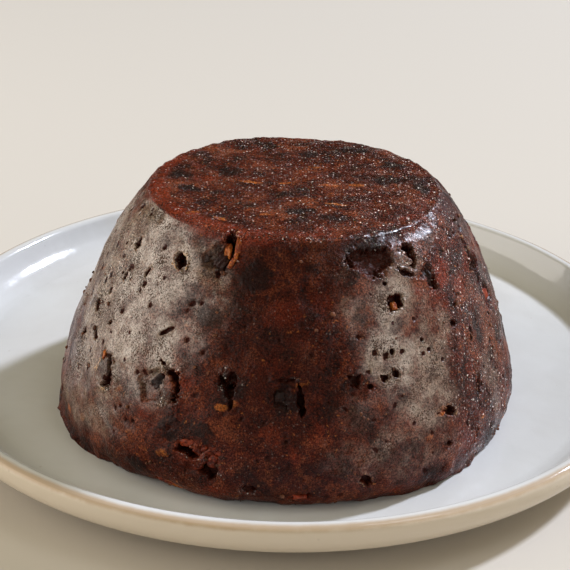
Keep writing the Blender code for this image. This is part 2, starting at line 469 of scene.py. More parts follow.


# what shows on the pudding

# torn holes, listed one by one: azimuth, height, width, height across, depth, turn, how pale the torn edge
# is, and how much of one side is still filled, which leaves a crescent
tornHoles = [
    (-22.9, 65, 3.6, 8.6, 3.4, 6, 0.5), (-38.8, 58.2, 4.6, 4.8, 3, 20, 1),
    (-59.9, 49.2, 1.8, 2.6, 1.4, 0, 0.2), (-50, 53, 1.5, 3.4, 1.3, -15, 0.2),
    (-62, 57.2, 2.6, 4.4, 1.4, 0, 0.2), (-68, 37.6, 3.2, 4.6, 1.4, 20, 0.2),
    (-57, 37.2, 1.9, 1.9, 1.4, 0, 0.2), (-62, 31.6, 3.2, 2, 1.6, -20, 0.2),
    (-69.5, 29, 1.8, 4.6, 1.4, 0, 0.1), (-52.6, 26, 6.4, 9.4, 3.4, 14, 0.7, 0.9),
    (-30.6, 29.6, 8, 9.4, 3, 8, 0.4, 0.9), (-15.5, 34.4, 5.2, 4.4, 2.6, 20, 0.3),
    (-14.8, 31.8, 3.4, 4.6, 2.2, -6, 0.2), (-14.2, 28.6, 1.5, 3.6, 1.4, -6, 0.1),
    (2.4, 30.6, 1.9, 8.8, 3, 8, 0.2), (-1.4, 35.6, 6, 1.2, 1.2, 4, 0.1),
    (25.4, 61.6, 12.6, 9.6, 2, -8, 0.2), (41.6, 61.4, 3.2, 7.6, 4.4, -6, 0.4),
    (36.4, 57.2, 5.6, 2.4, 2.4, -24, 0.4), (30.4, 51.2, 4.4, 4, 2.8, 0, 0.4),
    (28.2, 56, 1.3, 1.4, 1.2, 0, 0.2), (26.2, 40.2, 1.7, 1.9, 1.6, 0, 0.1),
    (23.1, 34.3, 2, 2.3, 1.7, 0, 0.1), (26.8, 34.9, 2.2, 2.9, 1.9, 25, 0.1),
    (15.4, 34.8, 3, 3.2, 1.8, 0, 0.2), (19.6, 32.8, 2.2, 2, 1.7, 0, 0.3),
    (49.5, 41.4, 2.7, 3.3, 2.2, 0, 0.3), (41.4, 20.8, 3.2, 2.8, 2.8, 0, 0.9),
    (54, 22.4, 2.4, 4.6, 2.4, 0, 0.3), (50.6, 10.6, 2, 5, 2.2, -12, 0.2),
    (39.6, 12.6, 2.2, 1.8, 1.6, 0, 0.4), (-22.6, 14.8, 8.4, 3, 3.6, -4, 0.5),
    (-17.8, 10.4, 5.6, 4, 3, 0, 0.4), (17.4, 8.8, 2.6, 3.2, 2, 35, 0.6),
    (-35.4, 42.4, 1.3, 5.6, 0.9, -50, 0.3), (-33.6, 34.6, 4.2, 1.2, 1.2, -18, 0.2),
    (46.5, 52.4, 2.4, 4.6, 1.8, 8, 0.3), (57, 36.6, 1.6, 3.4, 1.4, 0, 0.2),
    (-8.8, 7, 3.4, 2, 1.2, 0, 0.2), (-64, 43.6, 1.6, 3, 1.2, 10, 0.2), (36, 41, 1.4, 1.2, 1.1, 0, 0.1),
]

# fruit under the skin, listed: azimuth, height, length, width, turn, how plainly it shows
skinFruit = {
    "raisin": [
        (-26.6, 60.8, 11.6, 8.4, 60, 1), (-12.4, 58.6, 11, 8.6, -30, 1),
        (-23.6, 48.4, 9.6, 7.6, 20, 1), (26, 62.4, 13.6, 11.4, -10, 1), (-20.4, 40.2, 10, 7, -40, 0.6),
        (11, 46.2, 9.8, 7.4, 15, 0.5), (3.6, 60.4, 11, 6.2, 5, 0.6), (46, 55, 8, 6, 70, 0.7),
        (-60.6, 22.4, 9, 6.6, 10, 0.6), (-53.6, 18.2, 8.6, 6, -20, 0.7),
        (-28.4, 19.6, 11.2, 7.6, 50, 0.9), (-19.4, 20.4, 9.6, 7.2, -10, 0.8),
        (-60.6, 53, 7.6, 5.6, 70, 0.25), (-71, 37.4, 8, 5.4, 80, 0.8), (29, 45.8, 8, 5, 30, 0.9),
        (37.2, 31.4, 7.6, 5.6, -10, 0.9), (48.2, 36.6, 9, 6, 80, 0.6), (5.4, 14.6, 9.2, 7, 15, 0.6),
        (9, 9, 9, 6.2, -20, 0.6), (24.4, 13.8, 9.8, 6.8, 35, 0.5), (55.2, 26.4, 8.2, 6, 75, 0.6),
        (36.4, 12, 8, 6, 0, 0.6), (-9.6, 12.4, 9.4, 6.6, 25, 0.6), (16.6, 26.6, 9.6, 7, -30, 0.4),
        (-53, 44, 7, 4, 60, 0.6), (-46, 32, 6.4, 4.4, 20, 0.4), (13, 34, 9, 7, 0, 0.7),
        (-14.5, 32.5, 9, 9, 0, 0.8), (-0.8, 31.4, 11, 9, 70, 0.8), (52, 47, 6, 4.4, 80, 0.6),
    ],
    "peel": [
        (-75.8, 45.6, 4.6, 2.4, 60, 0.9), (-16.8, 27.6, 5.6, 3, 10, 0.9),
        (-13.2, 29, 3.4, 2.6, 0, 0.7), (38.2, 21.8, 8.6, 3, 6, 1), (33.8, 16.4, 3.6, 3, 0, 0.7),
        (-29.2, 12.6, 5, 3.2, 10, 0.7), (-27.6, 3.6, 8, 3, -6, 1), (40.6, 38, 3.4, 5.6, 0, 0.6),
        (24, 41.6, 3, 3.4, 0, 0.6), (2.2, 34.8, 4.4, 2, 20, 0.7), (-57.4, 9.4, 5, 3, 30, 0.8),
        (-52, 38, 3, 2, 0, 0.4), (-64, 20, 4.6, 3, 60, 0.8), (-39.4, 14.6, 5, 3, 0, 0.6),
        (46, 30, 4, 3, 40, 0.5), (-30, 45, 3, 2.2, 0, 0.6),
    ],
    "cherry": [
        (-4.2, 22, 7.6, 6, -30, 1), (-2.6, 51, 15, 10, 20, 0.8), (7, 53.4, 11, 8, 0, 0.6),
        (52.4, 53.6, 10, 8, 50, 0.9), (45, 47, 13, 11, -30, 0.7), (2.9, 4.6, 9, 4.6, 0, 0.8),
        (1.4, 16.4, 8, 3.4, -60, 0.7), (51, 29, 7, 5.4, 60, 0.6), (18.4, 12.6, 9, 4, 40, 0.6),
        (-36.4, 21, 7, 5, 0, 0.6), (-21, 14, 15, 10, 0, 0.8), (-60, 14, 12, 7, 30, 0.6),
        (40, 60, 9, 8, 0, 0.7), (-16, 5, 12, 5, 0, 0.7), (24, 4, 14, 4, 0, 0.6),
        (47, 37, 9, 14, 0, 0.6), (-6, 38, 14, 10, 30, 0.5), (-20, 64, 6, 12, 0, 0.8),
    ],
}

# fruit in the flat top: x, y, length, width, turn, how plainly it shows
topFruit = {
    "raisin": [
        (-34.6, 5, 11.6, 8, 10, 0.9), (-19.5, 8, 11, 8.6, 0, 0.9), (-10, 33, 12, 9, 5, 0.9),
        (18, 28, 12.4, 9, -10, 0.9), (29.6, 14.4, 11, 8.4, 0, 1), (26, 2.4, 10.6, 8, 10, 0.9),
        (36.6, -2, 8, 10, 0, 1), (0.6, -24.6, 12, 5.4, 0, 1), (-14, -19.6, 9.6, 6.8, -8, 0.7),
        (3.4, -7.4, 10.4, 7.4, 6, 0.6), (-22.6, -11, 9, 6.4, 12, 0.6), (13.4, 11.6, 9.6, 7, 0, 0.5),
        (16, -12.6, 9.8, 6.6, -6, 0.6), (-29.4, 20.6, 9.4, 7.4, 30, 0.6),
        (22.6, -25.6, 9, 6.4, 30, 0.5), (-3.6, 20, 9.4, 7.2, 10, 0.5),
        (-14.6, -32.6, 8.6, 5, -20, 0.6), (-37.4, -13.4, 7, 5.4, 60, 0.4),
    ],
    "peel": [
        (-13, -1.4, 9.6, 2.4, -4, 1), (-3.4, -2, 6.4, 2.2, 5, 0.9), (9.4, -3, 7.8, 2.6, 8, 0.9),
        (17, -1.8, 7, 2.6, -6, 1), (10.8, -18.6, 9, 2.2, 4, 0.9), (-28.4, -25.6, 5, 2.4, 20, 1),
        (5.6, 12.4, 6.6, 3, 0, 0.6), (-8.4, -27.6, 4.4, 2, 0, 0.9), (12.6, 20.4, 5.6, 2.6, 12, 0.5),
        (-20.6, -30, 5, 2.4, -24, 0.9), (22, -6.6, 4.4, 2, 0, 0.6), (-22, -4.4, 4, 1.8, 0, 0.6),
    ],
    "cherry": [
        (-38.4, -8.6, 5.6, 12, 14, 1), (-27, -30.6, 14, 5, -38, 1), (-26, 1.6, 12, 6.4, 0, 0.6),
        (31, -24, 10, 4, 36, 0.8), (4, 4.6, 12, 6, 0, 0.5), (0, -39, 24, 5, 0, 0.7),
    ],
}

# fruit lying bare as a piece of its own: kind, azimuth, height, length, width, turn, how far it stands out
bareFruit = [
    ("raisin", -35.2, 28.6, 9, 8.6, 30, -0.3), ("raisin", -2.2, 31.8, 6.8, 6, 70, -0.9),
    ("raisin", -25.8, 61.4, 8.6, 6.4, 60, -0.7), ("peel", -20.2, 64.4, 1.5, 6.4, 4, 0.2),
    ("peel", -20.9, 61, 1.5, 3.2, -20, 0.2), ("cherry", -23.8, 17, 4.6, 2.6, 8, 0.2),
    ("cherry", -17.2, 13.6, 4, 4.4, -30, 0.3), ("cherry", -20.6, 15.4, 3, 2.4, 40, 0),
    ("cherry", -22.2, 10.6, 5.6, 3, 10, -0.4), ("cherry", -28.4, 3, 6.4, 2.4, -8, 0.1),
    ("peel", -25.4, 2.2, 4, 2, 0, 0), ("peel", -55, 29.4, 1.8, 3.6, 20, 0.1),
    ("peel", 30.2, 50.4, 2.2, 2.6, 0, -0.3), ("peel", 38.9, 21, 2.2, 1.8, 20, 0),
    ("cherry", 3, 4.4, 5, 2.6, 0, 0), ("peel", -24.2, 63.6, 2, 4.6, 10, -1.2),
    ("raisin", 46.4, 54.6, 6.4, 4.8, 70, -0.3), ("cherry", -19.2, 16.4, 2.4, 1.8, 60, 0.1),
    ("cherry", -16, 15.8, 2.2, 1.6, 0, 0.1),
]

# the same in the flat top, with x and y in place of azimuth and height
bareTop = [
    ("cherry", -27.6, -26.4, 4.2, 1.6, 20, 0.1), ("peel", -20.4, -30.4, 3.6, 1.3, -24, 0.1),
]

# smooth grey skin, listed: azimuth, height, width, height across, turn, how grey. The pale grey is partly
# real skin, partly the painted sheen of the side lights
greySkinAndSheen = [
    (-52, 42, 36, 54, 0, 0.9), (-66, 38, 26, 60, 0, 0.95), (-44, 55, 26, 24, 0, 0.95),
    (-36, 37, 12, 20, 0, 0.95), (-55, 26, 28, 24, 0, 0.75), (-36, 27, 16, 12, 0, 0.55),
    (-30, 42, 16, 22, 0, 0.5), (-31, 60, 16, 12, 0, 0.75), (-27, 53, 18, 24, 0, 0.48),
    (30, 51, 15, 18, -20, 0.9), (25, 39, 15, 18, 20, 0.85), (34, 35, 22, 17, -30, 1),
    (42, 42, 14, 24, 0, 0.72), (34, 26, 28, 18, -20, 0.7), (19, 50, 14, 28, 10, 0.45),
    (20, 27, 22, 14, 0, 0.4), (12, 16, 18, 12, 0, 0.3), (36, 60, 18, 12, 0, 0.6),
    (62, 20, 14, 26, 0, 0.5), (-60, 13, 44, 24, 0, 0.62), (28, 15, 40, 22, 0, 0.46),
    (-16, 12, 50, 14, 0, 0.1), (68, 30, 10, 22, 0, 0.4), (-72, 48, 14, 40, 0, 0.8),
    (50, 63, 22, 8, 0, 0.5), (-86, 42, 22, 56, 0, 0.9), (-106, 38, 24, 34, 25, 0.62),
    (-101, 56, 18, 14, 0, 0.75), (-98, 20, 16, 14, 0, 0.55), (-58, 64, 30, 12, 0, 1),
    (-61, 53, 18, 18, 0, 1), (-82, 22, 18, 30, 0, 0.6), (-68, 58, 16, 24, 0, 0.9),
]

# darker skin, partly deeper, wetter skin and partly painted shade, most of it across the front, the same
# columns
deepSkinAndShade = [
    (-6, 40, 38, 60, 0, 0.8), (4, 58, 30, 18, 0, 0.7), (-14, 58, 20, 14, 0, 0.8),
    (-2, 8, 40, 20, 0, 0.7), (4, 64, 64, 9, 0, 1), (-22, 44, 14, 16, 0, 0.5), (10, 34, 18, 22, 0, 0.6),
    (46, 40, 10, 30, 0, 0.5), (-24, 10, 24, 14, 0, 0.6),
]

# sticky skin, which also places the painted glints, besides the flat top and the right, the same columns
stickyAndGlintSkin = [
    (49, 62, 34, 20, 0, 1), (-68, 40, 22, 70, 0, 0.6),
]

scatter = {
    "fruitGap": 8.0 * mm,      # least distance between the middles of fruits
    "tries": 5200,
    "onTop": 0.16,             # of the tries
    "kinds": {"raisin": 0.6, "peel": 0.18, "cherry": 0.22},
    "fruitLength": {"raisin": (7.0, 12.0), "peel": (3.0, 7.5), "cherry": (6.0, 12.0)},
    "fruitShape": {"raisin": 0.7, "peel": 0.5, "cherry": 0.7},
    "bareShare": 0.09,         # of the scattered fruit
    "bareSize": 0.8,           # against the same fruit under the skin
    "laidOut": (-78, 68),      # the azimuths that the lists above cover
    "holes": 40,               # more torn holes on the sides and back
    "smallPits": 430,
}


def byKind(lists):
    return [(kind, *row) for kind, rows in lists.items() for row in rows]


def fruitSpots(sideList, topList):
    spots = []
    for kind, azimuth, height, length, width, turn, amount in sideList:
        spots.append((kind, onSide(azimuth, height * mm), length * mm, width * mm, turn, amount))
    for kind, x, y, length, width, turn, amount in topList:
        spots.append((kind, onTop(x * mm, y * mm), length * mm, width * mm, turn, amount))
    return spots


def randomSpot(low=2.0, high=65.0):
    # anywhere on the side, as likely in every square millimetre
    while True:
        azimuth = chance.uniform(-180, 180)
        height = chance.uniform(low, high) * mm
        if chance.uniform(0, widest) < basinRadius(height):
            return azimuth, height


def isLaidOut(azimuth):
    return scatter["laidOut"][0] < azimuth < scatter["laidOut"][1]


def hiddenSpot(low, high):
    # the same, kept off the side that the lists cover
    while True:
        azimuth, height = randomSpot(low, high)
        if not isLaidOut(azimuth):
            return azimuth, height


def scatterFruit(fruits, bared):
    middles = [fruit[1][0] for fruit in fruits]
    names, shares = list(scatter["kinds"]), list(scatter["kinds"].values())
    for attempt in range(scatter["tries"]):
        azimuth, height = randomSpot()
        radius = topRadius * math.sqrt(chance.uniform()) * 0.94
        turn = chance.uniform(0, math.tau)
        flat = chance.uniform() < scatter["onTop"]
        spot = onTop(radius * math.cos(turn), radius * math.sin(turn)) if flat else onSide(azimuth, height)
        kind = names[chance.choice(len(names), p=shares)]
        length = chance.uniform(*scatter["fruitLength"][kind]) * mm
        width = length * scatter["fruitShape"][kind] * chance.uniform(0.85, 1.15)
        turn = chance.uniform(0, 180)
        shows = chance.uniform(0.25, 0.9)
        if min(np.linalg.norm(spot[0] - middle) for middle in middles) < scatter["fruitGap"]:
            continue
        fruits.append((kind, spot, length, width, turn, shows))
        middles.append(spot[0])
        if not flat and not isLaidOut(azimuth) and chance.uniform() < scatter["bareShare"]:
            size = scatter["bareSize"]
            bared.append((kind, spot, length * size, width * size, turn, chance.uniform(-0.5, 0.3)))
    return fruits, bared


def allHoles():
    holes = []
    for azimuth, height, width, tallness, depth, turn, torn, *filled in tornHoles:
        spot = onSide(azimuth, height * mm)
        holes.append((spot, width * mm, tallness * mm, depth * mm, turn, torn, filled[0] if filled else 0))
    for count in range(scatter["holes"]):
        azimuth, height = hiddenSpot(6, 62)
        width = chance.uniform(1.8, 6.0) * mm
        tallness, depth = width * chance.uniform(0.7, 1.9), width * chance.uniform(0.5, 0.8)
        filled = chance.choice([0, 0, 0.9, -0.9]) if width > 4 * mm else 0
        turn, torn = chance.uniform(-40, 40), chance.uniform(0.1, 0.8)
        holes.append((onSide(azimuth, height), width, tallness, depth, turn, torn, filled))
    return holes


def smallPits():
    pits = []
    for count in range(scatter["smallPits"]):
        azimuth, height = randomSpot(1.5, 66)
        size = chance.uniform(0.7, 1.6) * mm
        tallness, depth = size * chance.uniform(0.8, 1.7), size * chance.uniform(0.35, 0.6)
        pits.append((onSide(azimuth, height), size, tallness, depth, chance.uniform(-60, 60), 0.0, 0))
    return pits


fruits, bared = scatterFruit(fruitSpots(byKind(skinFruit), byKind(topFruit)), fruitSpots(bareFruit, bareTop))
holes = allHoles()
pits = smallPits()
print("fruits", len(fruits), "bare", len(bared), "holes", len(holes), "small pits", len(pits))


# the sponge

skin = {
    "masks": ("raisin", "peel", "cherry", "hole", "torn", "filmAndSheen", "stickyAndGlint", "deepAndShade", "gloss"),
    "fruitRagged": 0.26,
    "fruitLift": 0.2 * mm,     # fruit under the skin lifts or dents it by this
    "bedSize": 1.05,           # a bed against the bare piece that lies in it
    "bedRagged": 0.34,
    "bedDepth": 0.9 * mm,
    "redEdge": 5 * mm,         # width of the red edge of the flat top
    "redPatch": 5 * mm,
    "redStretch": (-150, -110, -14, 12),
    "wetEdge": 3.2 * mm,       # how far the wet right edge reaches
    "wetPatch": 2.0 * mm,
    "wetStretch": (12, 32, 90, 120),
    "flatFrom": 1.2 * mm,      # what lies this near the top is flat top
    # grey skin, partly real skin and partly painted sheen
    "filmPatch": 17 * mm,
    "filmSpot": 5 * mm,
    "filmSpeckle": 4.5 * mm,
    "filmGrow": 1.5,           # patches of grey skin fade out past their size
    # darker skin, partly painted shade
    "deepPatch": 20 * mm,
    "deepGrow": 1.3,
    "stickyPatch": 24 * mm,
    "stickySpot": 9 * mm,
    "stickyStretch": (34, 56, 66, 92),
    "crumbLow": 26 * mm,       # below this the crumb gets coarser
    "tearRagged": (0.15, 0.5, 0.34),     # of the outline of pits, torn holes and the widest holes
    "tearWidths": (1.8 * mm, 6 * mm),    # where one of these becomes the next
    "tearBroken": 0.16,        # unevenness of a hole's floor
    "tearLip": 0.24 * mm,      # raised edge round a torn hole
    "wetTear": 3 * mm,         # wider holes have a wet rim
}


def refined(mesh, chosen):
    # halve the edges of the chosen faces
    body = bmesh.new()
    body.from_mesh(mesh)
    body.faces.ensure_lookup_table()
    edges = {edge for face in np.flatnonzero(chosen) for edge in body.faces[face].edges}
    bmesh.ops.subdivide_edges(body, edges=list(edges), cuts=1, use_grid_fill=True)
    bmesh.ops.triangulate(body, faces=body.faces[:])
    body.to_mesh(mesh)
    body.free()
    mesh.update()


def nearDetail(points, marks, margin):
    # which points lie in or beside the given holes or pits
    close = np.zeros(len(points), bool)
    for spot, width, tallness, depth, turn, torn, filled in marks:
        index, far = reach(points, spot, width + margin, tallness + margin, turn)
        close[index[far < 1.1]] = True
    return close


def triangleMiddles(mesh):
    corners = np.array([face.vertices[:] for face in mesh.polygons])
    return meshVectors(mesh)[corners].mean(axis=1)


def basinMesh():
    # the plain form, finer along the top edge, round pits and beds, and finest at the torn holes in front
    outline = basinOutline()
    counts = [max(6, round(math.tau * radius / basin["face"])) for radius, height in outline]
    counts[0] = 1
    under = basinRadius(np.array([0.0]))[0]
    outline = np.concatenate([outline, [[under * 0.94, 0], [under * 0.6, 0], [0, 0]]])
    mesh = turnedMesh("pudding_sponge", outline, counts + [200, 40, 1])
    middles = triangleMiddles(mesh)
    topEdge = np.abs(radii(middles) - topRadius) < 2.4 * mm
    topEdge &= middles[:, 2] > tall - 4 * mm
    beds = [(spot, length, width, 0, turn, 0, 0) for kind, spot, length, width, turn, proud in bared]
    refined(mesh, nearDetail(middles, holes + pits + beds, 0.9 * mm) | topEdge)
    refined(mesh, nearDetail(triangleMiddles(mesh), holes[:len(tornHoles)], 0.7 * mm))
    return mesh


def pressFruit(points, masks, rise):
    # fruit pressing against the skin from below
    for number, (kind, spot, length, width, turn, shows) in enumerate(fruits):
        index, far = reach(points, spot, length, width, turn, skin["fruitRagged"], number)
        raiseTo(masks[kind], (1 - fade(far, 0.5, 1.25)) * shows, index)
        rise[index] += (1 - fade(far, 0.3, 1.15)) * skin["fruitLift"] * (1 if number % 3 else -1)


def paintTopEdge(points, masks):
    # a thin red edge where the top meets the side, strongest at the left, and a wet, glossy one at the
    # right, which also brightens the painted glints
    turned, around, height = azimuths(points), radii(points), points[:, 2]
    onEdge = fade(height, tall - 3.4 * mm, tall - 1.8 * mm)
    onEdge *= fade(around, topRadius - skin["redEdge"], topRadius - 2 * mm)
    onEdge *= np.maximum(stretch(turned, *skin["redStretch"]), 0.35)
    redEdge = onEdge * (0.95 + 0.5 * softNoise(points, skin["redPatch"], 41))
    raiseTo(masks["cherry"], redEdge)
    masks["raisin"] *= 1 - 0.6 * np.clip(redEdge, 0, 1)
    edgeGap = np.hypot(around - topRadius - mm, height - tall + mm)
    wet = bell(edgeGap, 0, skin["wetEdge"]) * stretch(turned, *skin["wetStretch"])
    masks["gloss"] += wet * (0.6 + 0.5 * softNoise(points, skin["wetPatch"], 43))
    return wet


def sinkBeds(points, rise):
    # shallow ragged beds for the pieces that lie bare
    size, ragged = skin["bedSize"], skin["bedRagged"]
    for number, (kind, spot, length, width, turn, proud) in enumerate(bared):
        aside = 0.06 * (number % 3 - 1)
        index, far = reach(points, spot, length * size, width * size, turn, ragged, number + 300, aside)
        rise[index] -= (1 - fade(far, 0.72, 1.02)) * (skin["bedDepth"] - min(proud, 0) * mm)


def layPatches(points, mask, patches, grow, softFrom, patchy=None):
    # raise a mask over the listed patches, soft from a share of their reach outwards
    for azimuth, height, width, tallness, turn, amount in patches:
        size = grow * mm
        index, far = reach(points, onSide(azimuth, height * mm), width * size, tallness * size, turn)
        cover = amount * (1 - fade(far, softFrom, 1))
        raiseTo(mask, cover if patchy is None else cover * patchy[index], index)


def paintSkin(points, masks, wet):
    # smooth grey skin on the sides, partly painted sheen; deep wet skin, partly painted shade; and sticky
    # stretches, which place the painted glints
    turned, height = azimuths(points), points[:, 2]
    flat = height > tall - skin["flatFrom"]
    laidOut = fade(np.abs(turned + 5), 84, 68)
    # grey skin: random patches, and the listed ones, which paint the sheen of the side lights as a pale
    # colour
    filmAndSheen = 0.1 + 0.42 * softNoise(points, skin["filmPatch"], 6)
    filmAndSheen += 0.2 * softNoise(points, skin["filmSpot"], 7) - 0.5 * laidOut
    patchy = 0.86 + 0.34 * softNoise(points, skin["filmSpeckle"], 8)
    layPatches(points, filmAndSheen, greySkinAndSheen, skin["filmGrow"], 0.3, patchy)
    filmAndSheen[flat] = 0
    filmAndSheen *= 1 - 0.85 * np.clip(1.6 * wet, 0, 1)
    filmAndSheen *= fade(height, 1.5 * mm, 9 * mm)
    masks["filmAndSheen"] += filmAndSheen

    # darker skin: random patches of deeper skin, and the listed patches, which paint shade
    deepAndShade = 0.3 + 0.6 * softNoise(points, skin["deepPatch"], 12) - 0.3 * laidOut
    layPatches(points, deepAndShade, deepSkinAndShade, skin["deepGrow"], 0.35)
    masks["deepAndShade"] += np.where(flat, 0, deepAndShade)

    stickyAndGlint = masks["stickyAndGlint"]
    # sticky skin carries the painted glints: over the flat top, more towards its right where the key light
    # falls, and down the right side
    raiseTo(stickyAndGlint, flat * (0.6 + 0.35 * fade(points[:, 0], -20 * mm, 30 * mm)))
    raiseTo(stickyAndGlint, stretch(turned, *skin["stickyStretch"]))
    raiseTo(stickyAndGlint, fade(softNoise(points, skin["stickyPatch"], 31), 0.15, 0.5) * (1 - laidOut))
    layPatches(points, stickyAndGlint, stickyAndGlintSkin, 1, 0.5)
    raiseTo(stickyAndGlint, 0.05 + 0.1 * softNoise(points, skin["stickySpot"], 33))


def roughen(points, filmAndSheen, rise):
    # crumb and grit, coarser low down and along the top edge, shallower where grey skin, which also carries
    # the painted sheen, fills them
    flat = points[:, 2] > tall - skin["flatFrom"]
    filled = np.clip(filmAndSheen, 0, 1)
    coarse = 1 + 0.9 * fade(points[:, 2], skin["crumbLow"], 8 * mm)
    coarse += fade(points[:, 2], tall - 6 * mm, tall - 2 * mm) * ~flat
    rise += basin["crumb"] * coarse * (1 - 0.25 * filled) * softNoise(points, basin["crumbSize"], 11)
    grit = basin["grit"] * (1.4 - filled) * np.where(flat, 1.5, 1)
    finer = 0.6 * softNoise(points, basin["gritSize"] / 2, 10)
    rise += grit * (softNoise(points, basin["gritSize"], 9) + finer)


def tearHoles(points, masks, rise):
    # torn holes with steep broken walls, and small pits
    for number, (spot, width, tallness, depth, turn, torn, filled) in enumerate(holes + pits):
        ragged = skin["tearRagged"][np.searchsorted(skin["tearWidths"], width, side="right")]
        index, far = reach(points, spot, width, tallness, turn, ragged, number + 500)
        sunk = 1 - fade(far, 0.64, 1.02)
        if filled:
            beside, inner = reach(
                points, spot, width, tallness, turn, ragged * 0.6, number + 700, -0.24 * filled)
            kept = np.ones(len(points))
            kept[beside] = fade(inner, 0.72, 0.96)
            sunk *= kept[index]
        broken = 1 + skin["tearBroken"] * softNoise(points[index], 1.4 * mm, number)
        rise[index] -= depth * sunk * broken
        rim = bell(far, 1.16, 0.15)
        if number < len(holes):
            rise[index] += skin["tearLip"] * rim * (0.8 + softNoise(points[index], 1.6 * mm, number + 40))
        patch = fade(softNoise(points[index], 2.2 * mm, number + 90), -0.1, 0.4)
        raiseTo(masks["torn"], torn * rim * patch, index)
        raiseTo(masks["hole"], sunk, index)
        # wider holes get a wet, glossy rim that also carries painted glints
        if width > skin["wetTear"]:
            wetRim = bell(far, 1.05, 0.3) * patch
            raiseTo(masks["gloss"], 0.8 * wetRim, index)
            raiseTo(masks["stickyAndGlint"], 0.9 * wetRim, index)


def makePuddingMesh():
    mesh = basinMesh()
    points, normals = meshVectors(mesh), meshVectors(mesh, "normal")
    rise = np.zeros(len(points))                  # how far each point moves out along its normal
    masks = {name: np.zeros(len(points)) for name in skin["masks"]}
    pressFruit(points, masks, rise)
    wet = paintTopEdge(points, masks)
    sinkBeds(points, rise)
    rise += basin["swell"] * softNoise(points, basin["swellSize"], 3)
    rise += basin["lump"] * softNoise(points, basin["lumpSize"], 4)
    paintSkin(points, masks, wet)
    roughen(points, masks["filmAndSheen"], rise)
    tearHoles(points, masks, rise)

    base = points[:, 2] < 0.2 * mm
    rise[base & (radii(points) < widest * 0.86)] = 0
    moved = points + normals * rise[:, None]
    moved[:, 2] = np.where(base, 0, np.maximum(moved[:, 2], 0.05 * mm))
    setPoints(mesh, placed(moved))
    for name, values in masks.items():
        addMask(mesh, name, values)
    return mesh


spongeLook = {
    "dark": (0.014, 0.0028, 0.0018),
    "mid": (0.06, 0.0095, 0.0042),
    "light": (0.14, 0.034, 0.013),
    "fleck": (0.38, 0.12, 0.028),
    "raisin": (0.008, 0.0026, 0.0026),
    "peel": (0.42, 0.135, 0.024),
    "cherry": (0.165, 0.022, 0.0075),
    # darker skin colour, partly painted shade
    "deepAndShade": (0.012, 0.002, 0.0012),
    "deepAndShadeCover": 0.52,
    # grey skin colours, partly real skin and partly the painted sheen of the side lights
    "filmAndSheen": (0.3, 0.232, 0.165),
    "underFilmAndSheen": (0.125, 0.05, 0.03),
    "filmAndSheenCover": 0.55,
    # dark pores too small to model: painted shade
    "pore": (0.03, 0.014, 0.009),
    "torn": (0.46, 0.26, 0.11),
    # the inside of holes, darker than the crumb: painted shade
    "hole": (0.034, 0.006, 0.003),
    # pale specks that stand for glints: painted glints
    "paintedGlint": (0.95, 0.82, 0.74),
    "rough": 0.42,
    "stickyRough": 0.2,
    "filmRough": 0.46,
    "shine": 0.1,
    "coatRough": 0.31,
    "coatIndex": 2.0,
    "glow": 0.1,
    "glowColour": (1.0, 0.22, 0.1),
    "glowDepth": 2.5 * mm,
    "grain": 0.62 * mm,
    "bigPore": 1.7 * mm,
    "glintSpeckSize": 0.9 * mm,
    "noises": {                # size, then detail, roughness and distortion
        "broad": (8 * mm, 5.0, 0.62, 0.5),
        "patchy": (7 * mm,),
        "blotch": (3.2 * mm, 3.0, 0.6, 0.6),
        "streak": (2.4 * mm, 4.0, 0.62, 1.2),
        "edge": (1.5 * mm, 4.0, 0.65),
        "fleck": (1.1 * mm,),
        "droplets": (0.85 * mm, 0.5),
        "sand": (0.46 * mm, 2.0, 0.7, 0.3),
        "glintAndPoreNoise": (0.4 * mm, 1.0, 0.6, 0.2),
    },
    "masks": {                 # where each begins to show, where it is full, how ragged its edge is
        "raisin": (0.3, 0.95, 1.3),
        "peel": (0.42, 0.75, 0.5),
        "cherry": (0.2, 1.0, 0.6),
        "hole": (0.12, 0.4, 0.12),
        "torn": (0.4, 0.7, 0.7),
        "deepAndShade": (0.2, 0.9, 0.6),
        "filmAndSheen": (0.04, 1.0, 0.46),
    },
}


